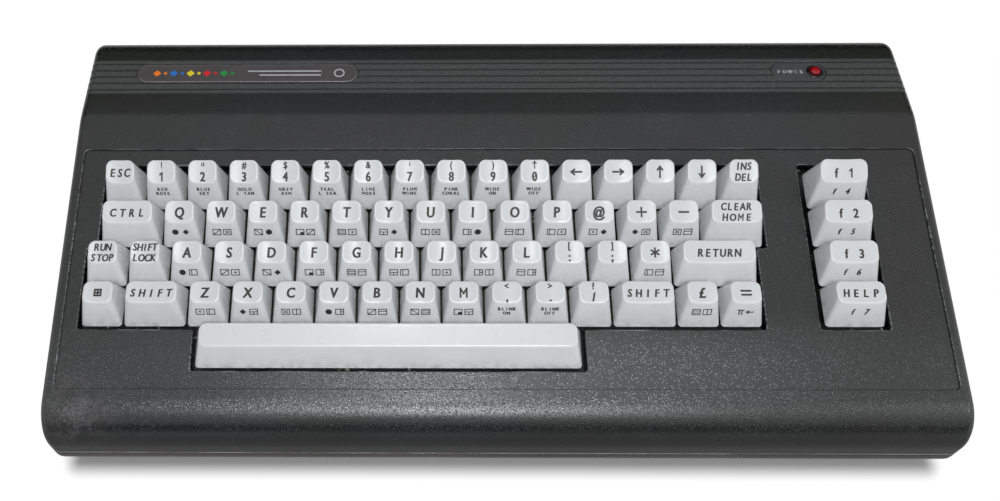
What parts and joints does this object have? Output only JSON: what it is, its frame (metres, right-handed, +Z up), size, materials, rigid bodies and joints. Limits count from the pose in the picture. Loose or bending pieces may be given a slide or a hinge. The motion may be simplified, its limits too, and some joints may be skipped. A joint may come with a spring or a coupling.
{
  "type": "home computer",
  "caption": "Wedge-shaped home computer with a dark moulded case, a sculpted pale keyboard with its own space bar, function keys at the right, and sockets at the back and side.",
  "frame": {"origin": "centre of the footprint, on the surface that the rubber feet stand on", "axes": "+X to the right along the keyboard, +Y to the back, +Z up"},
  "size_m": [0.4064, 0.2054, 0.0783],
  "materials": {
    "case_plastic": "fine grained, satin",
    "key_plastic": "smooth satin",
    "badge_finish": "printed satin",
    "bezel_plastic": "satin",
    "lamp_red": "clear red resin",
    "black_plastic": "smooth",
    "foot_rubber": "matt",
    "screw_steel": "plated",
    "frame_plastic": "moulded",
    "board_laminate": "lacquered laminate",
    "cable_sheath": "soft sheath",
    "chip_body": "moulded",
    "sink_aluminium": "extruded",
    "can_metal": "tinned",
    "port_plastic": "moulded",
    "wire_steel": "drawn wire"
  },
  "bodies": {
    "case": {"upper_case": "case_plastic", "lower_case": "case_plastic", "badge_plate": "badge_finish", "led_bezel": "bezel_plastic", "power_led": "lamp_red", "led_holder": "black_plastic", "foot_front_left": "foot_rubber", "foot_front_right": "foot_rubber", "foot_back_left": "foot_rubber", "foot_back_right": "foot_rubber", "case_screw_left": "screw_steel", "case_screw_middle": "screw_steel", "case_screw_right": "screw_steel", "key_frame": "frame_plastic", "keyboard_board": "board_laminate", "keyboard_cable": "cable_sheath", "main_board": "board_laminate", "processor_chip": "chip_body", "video_chip": "chip_body", "heat_sink": "sink_aluminium", "rf_modulator": "can_metal", "expansion_port": "port_plastic", "power_socket": "port_plastic", "power_switch": "port_plastic", "joystick_port_1": "port_plastic", "joystick_port_2": "port_plastic", "video_port": "port_plastic", "serial_port": "port_plastic", "cassette_port": "port_plastic", "led_cable": "cable_sheath"},
    "key_escape": {"key_escape": "key_plastic"},
    "key_left": {"key_left": "key_plastic"},
    "key_right": {"key_right": "key_plastic"},
    "key_up": {"key_up": "key_plastic"},
    "key_down": {"key_down": "key_plastic"},
    "key_delete": {"key_delete": "key_plastic"},
    "key_f1": {"key_f1": "key_plastic"},
    "key_control": {"key_control": "key_plastic"},
    "key_home": {"key_home": "key_plastic"},
    "key_f2": {"key_f2": "key_plastic"},
    "key_stop": {"key_stop": "key_plastic"},
    "key_shift_lock": {"key_shift_lock": "key_plastic"},
    "key_return": {"key_return": "key_plastic"},
    "key_f3": {"key_f3": "key_plastic"},
    "key_symbol": {"key_symbol": "key_plastic"},
    "key_shift_left": {"key_shift_left": "key_plastic"},
    "key_shift_right": {"key_shift_right": "key_plastic"},
    "key_pound": {"key_pound": "key_plastic"},
    "key_equals": {"key_equals": "key_plastic"},
    "key_help": {"key_help": "key_plastic"},
    "space_bar": {"space_bar": "key_plastic"},
    "number_keys": {"number_keys": "key_plastic"},
    "upper_letters_left": {"upper_letters_left": "key_plastic"},
    "upper_letters_right": {"upper_letters_right": "key_plastic"},
    "home_letters_left": {"home_letters_left": "key_plastic"},
    "home_letters_right": {"home_letters_right": "key_plastic"},
    "lower_letters": {"lower_letters": "key_plastic"},
    "space_bar_wire": {"space_bar_wire": "wire_steel"},
    "power_rocker": {"power_rocker": "port_plastic"},
    "reset_button": {"reset_button": "port_plastic"}
  },
  "joints": [
    {"name": "press_key_escape", "type": "slide", "parent": "case", "child": "key_escape", "axis": [0, 0.1908, -0.9816], "range_m": [0, 0.0038], "stiffness_N_per_m": 150, "springref_m": -0.003},
    {"name": "press_key_left", "type": "slide", "parent": "case", "child": "key_left", "axis": [0, 0.1908, -0.9816], "range_m": [0, 0.0038], "stiffness_N_per_m": 150, "springref_m": -0.003},
    {"name": "press_key_right", "type": "slide", "parent": "case", "child": "key_right", "axis": [0, 0.1908, -0.9816], "range_m": [0, 0.0038], "stiffness_N_per_m": 150, "springref_m": -0.003},
    {"name": "press_key_up", "type": "slide", "parent": "case", "child": "key_up", "axis": [0, 0.1908, -0.9816], "range_m": [0, 0.0038], "stiffness_N_per_m": 150, "springref_m": -0.003},
    {"name": "press_key_down", "type": "slide", "parent": "case", "child": "key_down", "axis": [0, 0.1908, -0.9816], "range_m": [0, 0.0038], "stiffness_N_per_m": 150, "springref_m": -0.003},
    {"name": "press_key_delete", "type": "slide", "parent": "case", "child": "key_delete", "axis": [0, 0.1908, -0.9816], "range_m": [0, 0.0038], "stiffness_N_per_m": 150, "springref_m": -0.003},
    {"name": "press_key_f1", "type": "slide", "parent": "case", "child": "key_f1", "axis": [0, 0.1908, -0.9816], "range_m": [0, 0.0038], "stiffness_N_per_m": 150, "springref_m": -0.003},
    {"name": "press_key_control", "type": "slide", "parent": "case", "child": "key_control", "axis": [0, 0.1908, -0.9816], "range_m": [0, 0.0038], "stiffness_N_per_m": 150, "springref_m": -0.003},
    {"name": "press_key_home", "type": "slide", "parent": "case", "child": "key_home", "axis": [0, 0.1908, -0.9816], "range_m": [0, 0.0038], "stiffness_N_per_m": 150, "springref_m": -0.003},
    {"name": "press_key_f2", "type": "slide", "parent": "case", "child": "key_f2", "axis": [0, 0.1908, -0.9816], "range_m": [0, 0.0038], "stiffness_N_per_m": 150, "springref_m": -0.003},
    {"name": "press_key_stop", "type": "slide", "parent": "case", "child": "key_stop", "axis": [0, 0.1908, -0.9816], "range_m": [0, 0.0038], "stiffness_N_per_m": 150, "springref_m": -0.003},
    {"name": "press_key_shift_lock", "type": "slide", "parent": "case", "child": "key_shift_lock", "axis": [0, 0.1908, -0.9816], "range_m": [0, 0.0038], "stiffness_N_per_m": 150, "springref_m": -0.003},
    {"name": "press_key_return", "type": "slide", "parent": "case", "child": "key_return", "axis": [0, 0.1908, -0.9816], "range_m": [0, 0.0038], "stiffness_N_per_m": 150, "springref_m": -0.003},
    {"name": "press_key_f3", "type": "slide", "parent": "case", "child": "key_f3", "axis": [0, 0.1908, -0.9816], "range_m": [0, 0.0038], "stiffness_N_per_m": 150, "springref_m": -0.003},
    {"name": "press_key_symbol", "type": "slide", "parent": "case", "child": "key_symbol", "axis": [0, 0.1908, -0.9816], "range_m": [0, 0.0038], "stiffness_N_per_m": 150, "springref_m": -0.003},
    {"name": "press_key_shift_left", "type": "slide", "parent": "case", "child": "key_shift_left", "axis": [0, 0.1908, -0.9816], "range_m": [0, 0.0038], "stiffness_N_per_m": 150, "springref_m": -0.003},
    {"name": "press_key_shift_right", "type": "slide", "parent": "case", "child": "key_shift_right", "axis": [0, 0.1908, -0.9816], "range_m": [0, 0.0038], "stiffness_N_per_m": 150, "springref_m": -0.003},
    {"name": "press_key_pound", "type": "slide", "parent": "case", "child": "key_pound", "axis": [0, 0.1908, -0.9816], "range_m": [0, 0.0038], "stiffness_N_per_m": 150, "springref_m": -0.003},
    {"name": "press_key_equals", "type": "slide", "parent": "case", "child": "key_equals", "axis": [0, 0.1908, -0.9816], "range_m": [0, 0.0038], "stiffness_N_per_m": 150, "springref_m": -0.003},
    {"name": "press_key_help", "type": "slide", "parent": "case", "child": "key_help", "axis": [0, 0.1908, -0.9816], "range_m": [0, 0.0038], "stiffness_N_per_m": 150, "springref_m": -0.003},
    {"name": "press_space_bar", "type": "slide", "parent": "case", "child": "space_bar", "axis": [0, 0.1908, -0.9816], "range_m": [0, 0.0038], "stiffness_N_per_m": 400, "springref_m": -0.003},
    {"name": "press_number_keys", "type": "slide", "parent": "case", "child": "number_keys", "axis": [0, 0.1908, -0.9816], "range_m": [0, 0.0038], "stiffness_N_per_m": 400, "springref_m": -0.003},
    {"name": "press_upper_letters_left", "type": "slide", "parent": "case", "child": "upper_letters_left", "axis": [0, 0.1908, -0.9816], "range_m": [0, 0.0038], "stiffness_N_per_m": 400, "springref_m": -0.003},
    {"name": "press_upper_letters_right", "type": "slide", "parent": "case", "child": "upper_letters_right", "axis": [0, 0.1908, -0.9816], "range_m": [0, 0.0038], "stiffness_N_per_m": 400, "springref_m": -0.003},
    {"name": "press_home_letters_left", "type": "slide", "parent": "case", "child": "home_letters_left", "axis": [0, 0.1908, -0.9816], "range_m": [0, 0.0038], "stiffness_N_per_m": 400, "springref_m": -0.003},
    {"name": "press_home_letters_right", "type": "slide", "parent": "case", "child": "home_letters_right", "axis": [0, 0.1908, -0.9816], "range_m": [0, 0.0038], "stiffness_N_per_m": 400, "springref_m": -0.003},
    {"name": "press_lower_letters", "type": "slide", "parent": "case", "child": "lower_letters", "axis": [0, 0.1908, -0.9816], "range_m": [0, 0.0038], "stiffness_N_per_m": 400, "springref_m": -0.003},
    {"name": "turn_space_bar_wire", "type": "hinge", "parent": "case", "child": "space_bar_wire", "pos_m": [-0.05087, -0.06979, 0.04025], "axis": [-1, 0, 0], "range_deg": [0, 21.05]},
    {"name": "rock_power_rocker", "type": "hinge", "parent": "case", "child": "power_rocker", "pos_m": [0.19831, 0.05137, 0.0218], "axis": [0, 0, 1], "range_deg": [0, 14]},
    {"name": "press_reset_button", "type": "slide", "parent": "case", "child": "reset_button", "axis": [-1, 0, 0], "range_m": [0, 0.0012], "stiffness_N_per_m": 200, "springref_m": -0.002}
  ],
  "couplings": [
    {"joint": "turn_space_bar_wire", "follows": "press_space_bar", "rad_per_m": 95.766}
  ]
}
